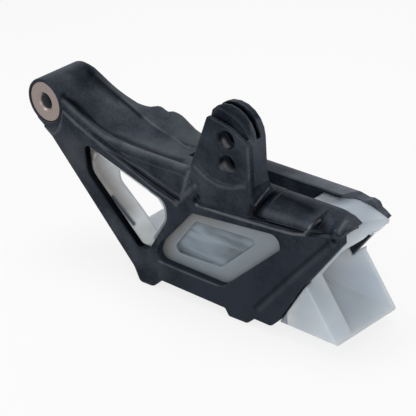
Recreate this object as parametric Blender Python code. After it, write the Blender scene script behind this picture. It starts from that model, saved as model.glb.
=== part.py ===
# Chain guard for the rear of a motorbike swingarm.
# A moulded housing holds a wear insert that the chain runs through, and a steel bushing takes the front bolt.
# X runs along the chain towards the rear wheel, Y from the near side to the far side, Z up.
# Lengths below are in millimetres, drawn with the bottom rail level; MM turns them into metres.
import math

import bmesh
import bpy
import numpy as np

MM = 0.001
gap = 0.3  # clearance between two pieces that touch
reach = 2.0  # how far a cutter runs past what it cuts

# Housing
body_width = 46.5
plate_wall = 4.6
edge_round = 1.2
rail_height = 6.4
foot_drop = 6.4  # front foot, below the rail
rear_foot_drop = 3.8  # rear foot, below the rail
front_foot_x = -17.5
front_foot_length = 10.0
rear_foot_x = 48.5
rear_foot_length = 12.5
foot_bar_top = 11.7
sole_proud = 0.2  # the bars' soles reach just below the plates
roof_top = 77.0
roof_wall = 9.0
ledge_front = 62.4  # height of the near plate's top edge under the lug
ledge_rear = 70.4  # and at the rear end of the shoulder
ledge_depth = 2.2
recess_depth = 1.9  # the long hollow beside the front window
shoulder_width = 15.8
far_round = 10.5
bead_crest = 4.6  # the arm's near bead: its crest and its inner crease, across from the near face
bead_crease = 9.4
bead_drop = 3.0
seam_x = 68.2  # a fine step across the shoulder
seam_step = 0.4
flange_inner = body_width - 15.5  # where the arm's dished floor meets its far flange
far_trim_near = body_width - 8.5  # the far plate's top rear corner is cut off from here outwards
front_room_near = body_width - 15.3  # the insert's far wall stops here, ahead of the far plate
flange_round = 1.8
skim = 0.01  # keeps a face from lying exactly in another

# Front boss and its bushing
boss_x = -86.7
boss_z = 90.5
boss_radius = 13.3
boss_length = 33.0
boss_recess = 1.5
boss_recess_radius = 14.8
flange_radius = 11.5
flange_thickness = 2.4
flange_sink = 0.5
sleeve_radius = 7.2
bore_radius = 4.25
bore_chamfer = 1.3

# Upper lug
lug_x = 43.7
lug_z = 104.9
lug_radius = 15.4
lug_near = 2.6
lug_far = 16.6
lug_right = 59.4
lug_skin = 2.0
lug_groove = 2.5
lug_rib = 2.3
lug_pocket = 3.5
lug_end_wall = 2.6
lug_flare = 3.6
lug_hole_x = 45.2
lug_hole_low = 90.5
lug_hole_pitch = 13.5
lug_hole_radius = 5.0
lug_bolt_radius = 4.3
lug_dish_radius = 24.3
lug_dish_depth = 1.0

# Wear insert
channel_near = 13.0
channel_far = body_width - 12.7
channel_floor = 27.4
channel_ceiling = 62.0
insert_bottom = 12.0
insert_rear = 113.4
insert_top = 67.6
throat_base = 56.0
flare_top = 57.6  # the channel's far wall spreads outwards below this height
flare_depth = 11.0
flare_run = 36.0
flush = 0.6  # how far the exposed end of the insert lies inside the housing's faces
panel_depth = 2.0
end_lean = 0.07  # sideways lean of the insert's rear end, per unit of width
slot_far = body_width - 16.5
slot_near = slot_far - 10.0
lip_near = 4.0
lip_far = body_width - 1.5
slot_front = 1.5
bay_front = 83.5
light_bend = 9.0  # depth at which the front window's funnel turns steeper

arc_steps = 5


def mesh_object(name, vertices, faces):
    """One closed mesh, with its faces turned outwards."""
    mesh = bpy.data.meshes.new(name)
    mesh.from_pydata((np.asarray(vertices, float) * MM).tolist(), [], faces)
    work = bmesh.new()
    work.from_mesh(mesh)
    bmesh.ops.recalc_face_normals(work, faces=work.faces)
    work.to_mesh(mesh)
    work.free()
    made = bpy.data.objects.new(name, mesh)
    bpy.context.scene.collection.objects.link(made)
    return made


def rounded(corners, grow=0.0):
    """Points round an outline of (across, up, radius) corners, counter-clockwise, moved out by grow."""
    place = np.array([corner[:2] for corner in corners], float)
    along = np.roll(place, -1, axis=0) - place
    along /= np.linalg.norm(along, axis=1)[:, None]
    outward = np.stack([along[:, 1], -along[:, 0]], axis=1)
    points = []
    for i, (across, up, radius) in enumerate(corners):
        before, after = along[i - 1], along[i]
        turn = before[0] * after[1] - before[1] * after[0]
        bend = 1.0 + float(before @ after)
        corner = np.array([across, up]) + grow * (outward[i - 1] + outward[i]) / bend
        if radius == 0:
            points.append(corner)
            continue
        size = max(radius + (grow if turn > 0 else -grow), 0.1)
        half = 0.5 * math.atan2(turn, float(before @ after))
        back = size * abs(math.tan(half))
        middle = corner + (after - before) / np.linalg.norm(after - before) * size / math.cos(half)
        start = corner - before * back - middle
        for step in range(arc_steps + 1):
            angle = 2.0 * half * step / arc_steps
            cos, sin = math.cos(angle), math.sin(angle)
            points.append(middle + [start[0] * cos - start[1] * sin, start[0] * sin + start[1] * cos])
    return np.array(points)


def loft(name, rings, warped=False):
    """Skin over rings of equally many points, closed at its ends; a warped skin is split in triangles."""
    rings = [np.asarray(ring, float) for ring in rings]
    count = len(rings[0])
    faces = [list(range(count)), list(range((len(rings) - 1) * count, len(rings) * count))]
    for level in range(len(rings) - 1):
        low, high = level * count, (level + 1) * count
        for i in range(count):
            j = (i + 1) % count
            if warped:
                faces.append([low + i, low + j, high + j])
                faces.append([low + i, high + j, high + i])
            else:
                faces.append([low + i, low + j, high + j, high + i])
    return mesh_object(name, np.concatenate(rings), faces)


def upright(points, depth):
    """Outline points (x, z) stood up at one depth y."""
    return np.column_stack([points[:, 0], np.full(len(points), depth), points[:, 1]])


def prism(name, corners, near, far, near_round=0.0, far_round=0.0):
    """An outline in X and Z carried from near to far, with its rims rounded where asked."""
    levels = []
    if near_round:
        levels += [(near, -near_round), (near + 0.3 * near_round, -0.3 * near_round)]
    levels.append((near + near_round, 0.0))
    levels.append((far - far_round, 0.0))
    if far_round:
        levels += [(far - 0.3 * far_round, -0.3 * far_round), (far, -far_round)]
    return loft(name, [upright(rounded(corners, grow), depth) for depth, grow in levels])


def window(name, corners, near, far, flare=1.0):
    """A cutter whose outline opens out where it meets the near face."""
    levels = [(near - reach, flare), (near, flare), (near + 0.3 * flare, 0.3 * flare)]
    levels += [(near + flare, 0.0), (far, 0.0)]
    return loft(name, [upright(rounded(corners, grow), depth) for depth, grow in levels])


def disc(x, z, radius, depth, sides):
    turn = np.linspace(0.0, 2.0 * math.pi, sides, endpoint=False)
    return np.column_stack([x + radius * np.cos(turn), np.full(sides, depth), z + radius * np.sin(turn)])


def turned(name, x, z, profile, sides=40):
    """A round piece about a line along Y, from (depth, radius) pairs."""
    return loft(name, [disc(x, z, radius, depth, sides) for depth, radius in profile])


def box(name, low, high):
    corners = [(low[0], low[2], 0), (high[0], low[2], 0), (high[0], high[2], 0), (low[0], high[2], 0)]
    return prism(name, corners, low[1], high[1])


def combine(base, tools, operation):
    """Joins, cuts or trims base by all the tools at once, and removes the tools."""
    group = bpy.data.collections.new("tools")
    for tool in tools:
        group.objects.link(tool)
    step = base.modifiers.new(operation.title(), "BOOLEAN")
    step.operation = operation
    step.operand_type = "COLLECTION"
    step.collection = group
    graph = bpy.context.evaluated_depsgraph_get()
    result = bpy.data.meshes.new_from_object(base.evaluated_get(graph))
    base.modifiers.remove(step)
    base.data = result
    for tool in tools:
        bpy.data.objects.remove(tool)
    bpy.data.collections.remove(group)
    return base


def curve_through(knots, x):
    """Height at x on a smooth curve through (x, height) knots."""
    knots = np.array(knots, float)
    slopes = np.gradient(knots[:, 1], knots[:, 0])
    i = int(np.clip(np.searchsorted(knots[:, 0], x) - 1, 0, len(knots) - 2))
    span = knots[i + 1, 0] - knots[i, 0]
    t = float(np.clip((x - knots[i, 0]) / span, 0.0, 1.0))
    return (
        (2 * t**3 - 3 * t**2 + 1) * knots[i, 1]
        + (t**3 - 2 * t**2 + t) * span * slopes[i]
        + (3 * t**2 - 2 * t**3) * knots[i + 1, 1]
        + (t**3 - t**2) * span * slopes[i + 1]
    )


def material(name, colour, roughness, metallic):
    made = bpy.data.materials.new(name)
    made.use_nodes = True
    shader = made.node_tree.nodes["Principled BSDF"]
    shader.inputs["Base Color"].default_value = (*colour, 1.0)
    shader.inputs["Roughness"].default_value = roughness
    shader.inputs["Metallic"].default_value = metallic
    made.diffuse_color = (*colour, 1.0)
    return made


def finish(made, finish_material, sharp_degrees=35):
    made.data.materials.clear()
    made.data.materials.append(finish_material)
    made.data.shade_smooth()
    made.data.set_sharp_from_angle(angle=math.radians(sharp_degrees))
    return made


# Lines that several shapes share. Each runs from the front to the rear.
front_edge = [(-82.5, 71.4), (-26.2, 8.4)]
rear_edge = [(76.2, 12.9), (91.3, 37.1), (116.4, 70.0), (116.3, 74.0), (117.2, 76.4),
             (120.0, 78.3), (121.2, 80.0)]
insert_edge = [(94.6, 40.8), (105.2, 55.6), (110.6, 62.0), (112.6, 70.0), (113.6, 78.0)]
ridge = [(-84, 101.0), (-76, 96.6), (-70, 93.0), (-63, 89.6), (-52, 85.2), (-40, 81.8),
         (-24, 80.0), (-6, 80.0), (16, 80.2)]
valley = [(-84, 102.4), (-80, 100.9), (-76, 98.1), (-71, 94.4), (-63, 89.0), (-49, 81.6),
          (-36, 77.4), (-20, 76.4), (-4, 76.6), (16, 76.8)]
far_line = [(-84, 102.8), (-80, 101.3), (-75, 98.4), (-64, 93.2), (-54, 88.8), (-46, 84.6),
            (-40, 81.2), (-33, 78.6), (-22, 77.0), (-8, 76.2), (16, 76.4)]
far_side = [(-84, body_width - 12.0), (-72, body_width - 10.5), (-60, body_width - 9.9),
            (-54, body_width - 8.1), (-47, body_width - 3.9), (-41, body_width - 0.9),
            (-35, body_width), (20, body_width)]
wing = [(-84, 102.9), (-80, 101.4), (-76, 98.7), (-70, 94.9), (-62, 91.2), (-56, 88.0),
        (-51, 84.8), (-47, 83.4), (-41, 84.0), (-35.6, 81.8), (-32.6, 82.9), (-29.6, 82.9),
        (-12.9, 77.0), (4, 76.8), (20, 76.7)]


def ledge_at(x):
    """Height of the near plate's top edge below the shoulder."""
    return ledge_front + (ledge_rear - ledge_front) * (x - 25.0) / 70.0


def outer_at(x):
    """How far across the arm reaches at x."""
    return min(curve_through(far_side, x), body_width)


def rest_height(x):
    """Height of the line through the soles of both feet."""
    front = rail_height - foot_drop
    rear = rail_height - rear_foot_drop
    return front + (rear - front) * (x - front_foot_x) / (rear_foot_x - front_foot_x)


def lower_edge():
    """Corners of a side plate's edge from the front foot round to the rear end."""
    front_toe = front_foot_x - front_foot_length / 2
    front_heel = front_foot_x + front_foot_length / 2
    rear_toe = rear_foot_x - rear_foot_length / 2
    rear_heel = rear_foot_x + rear_foot_length / 2
    step_rear = rail_height + 1.0
    return [
        (*front_edge[1], 8.0),
        (front_toe, rest_height(front_toe), 3.0),
        (front_heel, rest_height(front_heel), 4.0),
        (front_heel + 6.5, rail_height, 4.0),
        (rear_toe - 2.4, rail_height, 1.2),
        (rear_toe, rest_height(rear_toe), 1.6),
        (rear_heel, rest_height(rear_heel), 2.5),
        (rear_heel + 5.0, step_rear, 2.0),
        (rear_edge[0][0] - 5.4, step_rear, 3.0),
        (rear_edge[0][0] + 3.4, rear_edge[0][1] + 3.4, 0),
        (rear_edge[1][0] + 3.0, rear_edge[1][1], 0),
    ]


triangle_window = [(-56.9, 74.8, 3.5), (-56.4, 56.5, 7.0), (-22.0, 22.4, 4.0),
                   (-14.0, 22.6, 3.0), (2.2, 46.6, 9.0), (2.0, 57.1, 6.0)]
light_outer = [(-55.6, 69.0, 3.0), (-55.6, 56.0, 7.0), (-22.0, 22.4, 4.0),
               (-17.4, 23.2, 3.0), (-3.4, 43.2, 7.0), (-4.0, 53.2, 5.0)]
light_inner = [(-40.4, 64.4, 2.0), (-40.0, 50.0, 6.0), (-17.4, 30.2, 3.0),
               (-12.6, 31.0, 2.0), (-3.4, 43.2, 7.0), (-4.0, 53.2, 5.0)]
panel_window = [(-9.4, 19.0, 4.5), (39.0, 19.1, 9.0), (78.6, 54.9, 3.5),
                (77.8, 62.4, 4.8), (19.2, 56.2, 6.5), (-4.6, 30.4, 14.0)]
panel_pocket = [(-0.6, 25.2, 3.0), (34.6, 27.0, 6.0), (62.4, 52.2, 2.0), (18.6, 49.2, 4.0)]


def near_plate():
    """The near side plate, from the boss to the rear lip."""
    rim = [(knot[0], knot[1] - bead_drop - 0.4, 0) for knot in reversed(ridge[2:])]
    corners = lower_edge() + [
        (rear_edge[2][0] + 3.0, rear_edge[2][1], 0),
        (119.4, 76.4, 0),
        (112.5, 73.2, 4.0),
        (95.0, ledge_at(95.0), 1.0),
        (25.6, ledge_at(25.6), 1.2),
        (21.5, 70.0, 3.0),
        (18.6, 76.0, 2.0),
        *rim,
        (boss_x + 4.0, boss_z + 2.0, 0),
        (-94.9, 80.0, 1.5),
        (*front_edge[0], 4.0),
    ]
    return prism("near_plate", corners, 0.0, plate_wall, near_round=edge_round)


def far_plate():
    """The far side plate behind the insert."""
    x = -44.0
    start = front_edge[0][1] + (x - front_edge[0][0]) * (
        (front_edge[1][1] - front_edge[0][1]) / (front_edge[1][0] - front_edge[0][0])
    )
    corners = lower_edge() + [(112.6, 64.6, 2.0), (104.5, 68.0, 2.0), (98.0, 66.0, 2.0), (20.0, 68.0, 2.0),
                              (-10.0, 72.0, 4.0), (x, 76.0, 0), (x, start, 0)]
    return prism("far_plate", corners, body_width - plate_wall, body_width, far_round=edge_round)


def arm_section(x):
    """Cross-section of the arm's roof: a bead along the near edge, a dished floor and a raised far flange."""
    bead, floor, inner, flange = (curve_through(line, x) for line in (ridge, valley, far_line, wing))
    outer = outer_at(x)
    under = min(bead, floor, inner, flange) - roof_wall / 2
    corner = flange_round + (far_round - flange_round) * min(max((x + 26.0) / 38.0, 0.0), 1.0)
    turn = np.linspace(0.0, math.pi / 2, 4)
    shoulder = [(outer - corner + corner * math.cos(a), flange - corner + corner * math.sin(a))
                for a in turn]
    floor_y = bead_crease + 6.0
    return [
        (1.0, under), (outer - far_round, under), (outer, min(under, flange - corner - 1.0)), *shoulder,
        (0.5 * (outer - corner + flange_inner), 0.5 * (flange + inner) - 0.3),
        (flange_inner + 0.9, inner - 0.7), (flange_inner, inner), (flange_inner - 2.4, inner - 0.4),
        (0.5 * (flange_inner + floor_y), 0.5 * (floor + inner) - 0.5),
        (floor_y, floor + 0.2), (bead_crease + 1.6, floor - 0.4), (bead_crease, floor - 0.5),
        (bead_crest + 3.2, 0.4 * floor + 0.6 * bead - 0.2), (bead_crest + 1.5, bead - 0.2),
        (bead_crest, bead),
        (bead_crest - 1.6, bead - 0.35), (bead_crest - 2.8, bead - 1.2), (1.0, bead - bead_drop),
    ]


def arm_roof():
    stations = np.concatenate([np.arange(-84.0, -52.0, 4.0), np.arange(-52.0, -24.0, 2.0),
                               np.arange(-24.0, 20.0, 8.0), [20.0]])
    rings = []
    for x in stations:
        section = np.array(arm_section(float(x)))
        rings.append(np.column_stack([np.full(len(section), x), section[:, 0], section[:, 1]]))
    return loft("arm_roof", rings, warped=True)


def arm_far_wall():
    """The far wall between the boss and the far side plate, stepping out to its full width."""
    slope = (front_edge[1][1] - front_edge[0][1]) / (front_edge[1][0] - front_edge[0][0])
    rings = []
    for x in np.concatenate([np.arange(-83.0, -55.0, 4.0), np.arange(-55.0, -38.0, 2.0)]):
        outer = outer_at(float(x))
        low = front_edge[0][1] + (x - front_edge[0][0]) * slope + 0.3
        high = curve_through(wing, float(x)) - 3.0
        rings.append([(x, outer - 4.0, low), (x, outer - skim, low),
                      (x, outer - skim, high), (x, outer - 4.0, high)])
    return loft("arm_far_wall", rings)


def roof_section(x, low, top, power):
    """Cross-section of the rear roof: a superelliptic near shoulder, a flat top, a round far shoulder."""
    points = [(ledge_depth, low - 6.0), (ledge_depth + 4.0, low - 12.0), (body_width - 1.0, low - 12.0)]
    turn = np.linspace(0.0, math.pi / 2, 8)
    points += [(body_width - far_round + far_round * math.cos(a),
                roof_top - far_round + far_round * math.sin(a)) for a in turn]
    edge = ledge_depth + shoulder_width
    for a in turn[::-1]:
        across = abs(math.cos(a)) ** (2.0 / power)
        up = abs(math.sin(a)) ** (2.0 / power)
        points.append((edge - shoulder_width * across, low + (top - low) * up))
    ring = np.array(points)
    return np.column_stack([np.full(len(ring), x), ring[:, 0], ring[:, 1]])


def rear_roof():
    """The roof from the lug to the rear lip: shoulder, pit and flared lip."""
    stations = [
        (16.0, ledge_at(16.0), roof_top, 2.0),
        (seam_x, ledge_at(seam_x), roof_top, 2.0),
        (seam_x + 0.2, ledge_at(seam_x) - seam_step, roof_top - seam_step, 2.0),
        (90.0, ledge_at(90.0), roof_top, 2.0),
        (96.6, ledge_at(95.0), roof_top, 2.0),
        (97.8, ledge_at(95.0) - 3.6, roof_top, 1.15),
        (104.0, ledge_at(95.0) - 3.0, roof_top, 1.1),
        (108.6, ledge_at(95.0) + 0.6, roof_top + 0.5, 1.5),
        (113.0, ledge_at(95.0) + 4.2, roof_top + 1.4, 2.4),
        (117.0, ledge_at(95.0) + 6.6, roof_top + 2.0, 3.2),
        (122.0, ledge_at(95.0) + 8.0, roof_top + 2.4, 3.6),
    ]
    return loft("rear_roof", [roof_section(*station) for station in stations])


def lug():
    """The hollow upper lug: a near skin and a rib with a groove between them, a pocket, an arched wall."""
    rib_far = lug_near + lug_skin + lug_groove + lug_rib
    arch = np.linspace(math.radians(140), math.radians(0), 9)
    right, left = lug_right, 19.0
    root = 64.0
    head = [(lug_x + lug_radius * math.cos(a), lug_z + lug_radius * math.sin(a), 0) for a in arch]
    far = prism("lug_far", [(left, root, 0), (right, root, 0)] + head[::-1] + [(left + 3.0, 84.0, 0)],
                rib_far - 1.0, lug_far, far_round=0.8)
    front = prism(
        "lug_front",
        [(left - 3.0, root, 0), (right, root, 0), (right, 103.6, 1.0), (57.8, 105.4, 1.5),
         (48.0, 111.0, 24.0), (33.4, 114.0, 1.6), (left + 1.2, 83.0, 12.0)],
        lug_near - lug_dish_depth, rib_far, near_round=0.7)
    dish_z = lug_hole_low + 14.3
    dish_profile = [
        (-reach, lug_dish_radius + 0.8),
        (lug_near - lug_dish_depth + 0.2, lug_dish_radius + 0.6),
        (lug_near - 0.3, lug_dish_radius),
        (lug_near, lug_dish_radius - 0.6),
    ]
    dish = turned("dish", lug_x - 1.4, dish_z, dish_profile, 64)
    rib = prism(
        "lug_rib",
        [(26.0, 90.0, 0), (right - 0.8, 90.0, 0), (right - 0.8, 102.0, 1.0), (56.4, 106.2, 3.0),
         (52.6, 111.6, 14.0), (45.0, 116.0, 20.0), (36.2, 117.4, 1.6), (33.0, 113.0, 1.0)],
        lug_near + lug_skin + lug_groove - 0.4, rib_far)
    made = combine(front, [rib, far], "UNION")
    groove = prism(
        "groove",
        [(20.0, 106.0, 0), (44.0, 106.5, 10.0), (52.0, 101.6, 5.0), (56.7, 99.8, 1.8), (56.9, 125.0, 0),
         (20.0, 125.0, 0)],
        lug_near + lug_skin, lug_near + lug_skin + lug_groove)
    pocket = prism(
        "pocket",
        [(27.4, 84.0, 2.0), (right - lug_end_wall, 84.0, 2.0), (right - lug_end_wall, 98.0, 6.0),
         (right + lug_end_wall, 116.0, 0), (right, 130.0, 0), (18.0, 130.0, 0), (27.4, 110.0, 1.0)],
        rib_far, rib_far + lug_pocket)
    cutters = [dish, groove, pocket]
    eye_profile = [
        (-reach, lug_hole_radius + 0.5),
        (lug_near, lug_hole_radius + 0.5),
        (lug_near + 0.5, lug_hole_radius),
        (rib_far + 1.0, lug_hole_radius),
    ]
    bolt_profile = [(rib_far, lug_bolt_radius), (lug_far + reach, lug_bolt_radius)]
    for level in range(2):
        z = lug_hole_low + level * lug_hole_pitch
        cutters.append(turned(f"eye_{level}", lug_hole_x, z, eye_profile, 28))
        cutters.append(turned(f"bolt_{level}", lug_hole_x, z, bolt_profile, 24))
    return combine(made, cutters, "DIFFERENCE")


def lug_foot():
    """The flare where the lug's rear edge runs out on the shoulder."""
    rings = []
    edge = ledge_depth + shoulder_width
    low = ledge_at(lug_right)
    for depth in np.linspace(lug_near + 0.4, lug_far - 0.3, 8):
        across = (edge - depth) / shoulder_width
        base = low + (roof_top - low) * math.sqrt(1.0 - across**2)
        rings.append([(x, depth, base + up) for x, up in (
            (lug_right - 8.0, -2.0), (lug_right + lug_flare, -2.0), (lug_right + lug_flare, 0.1),
            (lug_right + 0.5 * lug_flare, 1.5), (lug_right + 0.15 * lug_flare, 4.4), (lug_right - 0.4, 8.0),
            (lug_right - 8.0, 8.0))])
    return loft("lug_foot", rings)


def foot_bars():
    """The two bars across the underside that end as the feet."""
    bars = []
    for name, x, length in (("front_bar", front_foot_x, front_foot_length),
                            ("rear_bar", rear_foot_x, rear_foot_length)):
        toe, heel = x - length / 2, x + length / 2
        corners = [(toe + 0.6, rest_height(toe + 0.6) - sole_proud, 2.0),
                   (heel - 0.6, rest_height(heel - 0.6) - sole_proud, 2.0),
                   (heel - 0.6, foot_bar_top, 1.0), (toe + 0.6, foot_bar_top, 1.0)]
        bars.append(prism(name, corners, 2.0, body_width - 2.0))
    return bars


def insert_outline(grow=0.0):
    """Side view of the insert inside the housing, moved out by grow."""
    corners = [
        (-21.0, insert_bottom, 3.0), (80.0, insert_bottom, 0), (130.0, insert_bottom, 0),
        (130.0, 62.0, 0), (92.0, insert_top, 12.0), (-30.0, insert_top, 12.0),
        (-52.0, 74.2, 3.0), (-60.4, 62.0, 6.0), (-58.6, 57.0, 6.0),
    ]
    return rounded(corners, grow)


def housing():
    near = near_plate()
    boss_profile = [
        (boss_recess, boss_radius - 0.8),
        (boss_recess + 0.3, boss_radius - 0.25),
        (boss_recess + 0.9, boss_radius),
        (boss_length - 1.0, boss_radius),
        (boss_length - 0.3, boss_radius - 0.3),
        (boss_length, boss_radius - 1.0),
    ]
    boss = turned("boss", boss_x, boss_z, boss_profile, 48)
    made = combine(near, [boss, arm_roof(), rear_roof(), far_plate(), arm_far_wall(),
                          *foot_bars(), lug(), lug_foot()], "UNION")
    walls = (plate_wall, body_width - plate_wall)
    cavity = loft("cavity", [upright(insert_outline(gap), depth) for depth in walls])
    keep = box("front_room", (-90.0, front_room_near + 0.4, -reach), (-43.0, body_width + reach, 100.0))
    combine(cavity, [keep], "DIFFERENCE")
    made = combine(made, [cavity], "DIFFERENCE")

    behind = [(*point, 0) for point in rear_edge]
    rear_room = [(150.0, -10.0, 0), (150.0, 100.0, 0), (rear_edge[-1][0] + 1.0, 100.0, 0),
                 *behind[::-1], (rear_edge[0][0], -10.0, 0)]
    rear_trim = window("rear_trim", rear_room, 0.0, body_width + reach, flare=0.7)
    far_room = [(112.6, 64.6, 1.5), (130.0, 64.6, 0), (130.0, 90.0, 0), (96.0, 90.0, 0),
                (97.0, 73.6, 2.0), (100.3, 71.9, 1.5), (103.6, 72.9, 1.5), (106.2, 71.4, 1.0),
                (106.8, 68.0, 1.0)]
    far_trim = prism("far_trim", far_room, far_trim_near, body_width + reach)
    bay = bay_prism("bay", 0.0, insert_top - 6.0, 100.0)
    slot = box("slot", (slot_front, slot_near, insert_top - reach), (bay_front + reach, slot_far, 100.0))
    recess_profile = [
        (-reach, boss_recess_radius + 0.6),
        (0.2, boss_recess_radius + 0.5),
        (0.7, boss_recess_radius),
        (boss_recess, boss_recess_radius),
    ]
    recess = turned("recess", boss_x, boss_z, recess_profile, 48)
    seat_floor = boss_recess + flange_sink + flange_thickness + gap
    seat_profile = [(0.0, flange_radius + gap), (seat_floor, flange_radius + gap)]
    seat = turned("seat", boss_x, boss_z, seat_profile, 48)
    bore_profile = [(0.0, sleeve_radius + gap), (boss_length + reach, sleeve_radius + gap)]
    bore = turned("bore", boss_x, boss_z, bore_profile, 36)
    groove_outline = [(13.4, 60.4, 1.6), (13.4, 64.9, 1.6), (-4.2, 70.2, 30.0),
                      (-17.8, 74.4, 30.0), (-34.3, 78.2, 0), (-56.0, 84.0, 0),
                      (-47.0, 80.0, 0), (-36.1, 75.4, 0), (-7.6, 66.2, 0)]
    groove = prism("side_recess", groove_outline, -reach, recess_depth)
    openings = [
        rear_trim, far_trim, bay, under_lip(gap), slot, recess, seat, bore, groove,
        window("triangle", triangle_window, 0.0, plate_wall + reach),
        window("panel", panel_window, 0.0, plate_wall + reach),
    ]
    made = combine(made, openings, "DIFFERENCE")
    made.name = "housing"
    made.data.name = "housing"
    return made


def bay_prism(name, shrink, low, high):
    """The opening in the roof's rear end that shows the insert, carried upwards."""
    corners = [(bay_front, slot_near + 0.1, 0), (104.0, slot_near + 0.1, 12.0),
               (112.0, slot_near - 3.4, 8.0), (121.5, slot_near - 9.4, 2.0),
               (135.0, slot_near - 12.0, 0), (135.0, lip_far - 1.4, 0),
               (113.0, lip_far - 1.4, 4.0), (104.0, lip_far - 3.4, 5.0), (97.0, lip_far - 6.6, 4.0),
               (93.0, slot_far - 0.1, 3.0), (bay_front, slot_far - 0.1, 0)]
    outline = rounded(corners, -shrink)
    rings = [np.column_stack([outline, np.full(len(outline), height)]) for height in (low, high)]
    return loft(name, rings)


def throat(grow=0.0):
    """The insert's upper lip, all widths: a tongue that spreads into a mouth dropping to the far side."""
    across = (11.0, 24.0, lip_far - 9.0, lip_far)
    stations = [
        (78.0, 75.8, 75.8, 75.8, 74.8),
        (92.0, 76.0, 76.0, 74.6, 71.0),
        (99.0, 75.8, 75.6, 73.0, 69.6),
        (105.0, 75.0, 74.4, 71.2, 67.4),
        (111.0, 74.0, 72.6, 68.6, 64.4),
        (116.0, 74.2, 70.6, 65.8, 61.4),
        (124.0, 74.2, 67.0, 61.0, 57.0),
    ]
    rings = []
    for x, *heights in stations:
        spread = list(zip(across, heights))
        top = [(x, y, curve_through(spread, y) + grow) for y in np.linspace(lip_near, lip_far, 10)]
        rings.append([(x, lip_far, throat_base), (x, lip_near, throat_base), *top])
    return loft("throat", rings, warped=True)


def under_lip(clear):
    """The part of the throat that lies beneath the housing's near lip."""
    room = box("lip_side", (109.4 - clear, plate_wall + gap - clear, insert_top - 5.7 - clear),
               (130.0, slot_near + 2.0, 100.0))
    return combine(throat(clear), [room], "INTERSECT")


def rear_cutter():
    """What lies behind the insert's two sloping ends, which meet in a notch and lean a little with Y."""
    corners = [(insert_rear, insert_bottom - reach, 0), (150.0, -10.0, 0), (150.0, 100.0, 0),
               (insert_edge[-1][0] + 1.0, 100.0, 0)]
    corners += [(*point, 2.0) for point in insert_edge[::-1][1:-1]]
    corners += [(*insert_edge[0], 1.5), (insert_rear, insert_bottom + 0.5, 0)]
    rings = []
    for depth in (-reach, body_width + reach):
        ring = upright(rounded(corners), depth)
        ring[:, 0] += end_lean * (depth - channel_near)
        rings.append(ring)
    return loft("rear_cutter", rings)


def wear_insert():
    inner_near, inner_far = plate_wall + gap, body_width - plate_wall - gap
    made = loft("wear_insert", [upright(insert_outline(0.0), depth) for depth in (inner_near, inner_far)])
    lip = combine(throat(), [bay_prism("bay_room", gap, insert_top - 5.7, 100.0)], "INTERSECT")
    slope = (rear_edge[1][0] - rear_edge[0][0]) / (rear_edge[1][1] - rear_edge[0][1])
    low_x = rear_edge[0][0] + (insert_bottom - rear_edge[0][1]) * slope + 1.5 * gap
    end_corners = [(low_x, insert_bottom, 0), (insert_rear + 6.0, insert_bottom, 0),
                   (98.0, 43.4, 0), (94.9, 40.9, 0),
                   (rear_edge[1][0] + 1.6 * gap, rear_edge[1][1], 0)]
    end = prism("rear_end", end_corners, flush, body_width - flush, near_round=1.4, far_round=1.4)
    made = combine(made, [lip, under_lip(0.0), end], "UNION")
    floor_line = [(-80.0, channel_floor - 1.0, 0), (-20.0, channel_floor, 0), (62.0, channel_floor, 40.0),
                  (93.0, 19.0, 40.0), (insert_rear + 4.0, insert_bottom + 0.2, 0)]
    ceiling_line = [(104.0, channel_ceiling - 3.4, 20.0), (84.0, channel_ceiling, 20.0),
                    (-34.0, channel_ceiling, 10.0), (-58.0, 69.0, 0), (-80.0, 72.0, 0)]
    channel = prism("channel", [*floor_line, (130.0, 40.0, 0), (130.0, 60.0, 0), *ceiling_line],
                    channel_near, channel_far)
    light_levels = [
        (light_outer, plate_wall - reach),
        (light_outer, plate_wall + gap + 0.5),
        (light_middle(), light_bend),
        (light_inner, channel_near + reach),
    ]
    light = loft("light", [upright(rounded(corners), depth) for corners, depth in light_levels])
    panel = prism("panel", panel_pocket, plate_wall, plate_wall + gap + panel_depth)
    lip_notch = box("lip_notch", (103.5, lip_far - 17.5, 57.0), (124.0, lip_far - 10.5, 62.2))
    front_room = box("front_room", (-90.0, front_room_near, -reach), (-42.6, body_width + reach, 100.0))
    return combine(made, [channel, channel_flare(), rear_cutter(), front_room, light, panel, lip_notch],
                   "DIFFERENCE")


def channel_flare():
    """What spreads the channel's far wall outwards, until it is thin at the insert's sloping rear edge."""
    notch_x, notch_z = insert_edge[0]
    low_slope = (insert_rear - notch_x) / (notch_z - insert_bottom)
    high_slope = (insert_edge[1][0] - notch_x) / (insert_edge[1][1] - notch_z)
    rings = []
    for x, low in ((66.0, 28.6), (76.0, 25.0), (86.0, 21.4), (92.0, 19.5), (98.0, 17.6),
                   (102.0, 16.4), (106.0, 15.2), (111.0, 13.8), (116.0, 12.7), (124.0, 12.3)):
        ring = [(x, channel_far - 4.0, low)]
        bend = 20.0 + 0.5 * low
        for z in (low, bend, 0.5 * (notch_z + bend), notch_z, 0.5 * (notch_z + flare_top), flare_top):
            run_out = low_slope * (notch_z - z) if z < notch_z else high_slope * (z - notch_z)
            edge_x = notch_x + end_lean * body_width + run_out
            share = min(max(1.0 - (edge_x - x) / flare_run, 0.0), 1.2)
            ring.append((x, channel_far + flare_depth * share**1.4, z))
        ring.append((x, channel_far - 4.0, flare_top))
        rings.append(ring)
    return loft("channel_flare", rings, warped=True)


def light_middle():
    """The step halfway down the side of the insert's window."""
    return [tuple(a + 0.3 * (b - a) for a, b in zip(outer, inner))
            for outer, inner in zip(light_outer, light_inner)]


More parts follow.
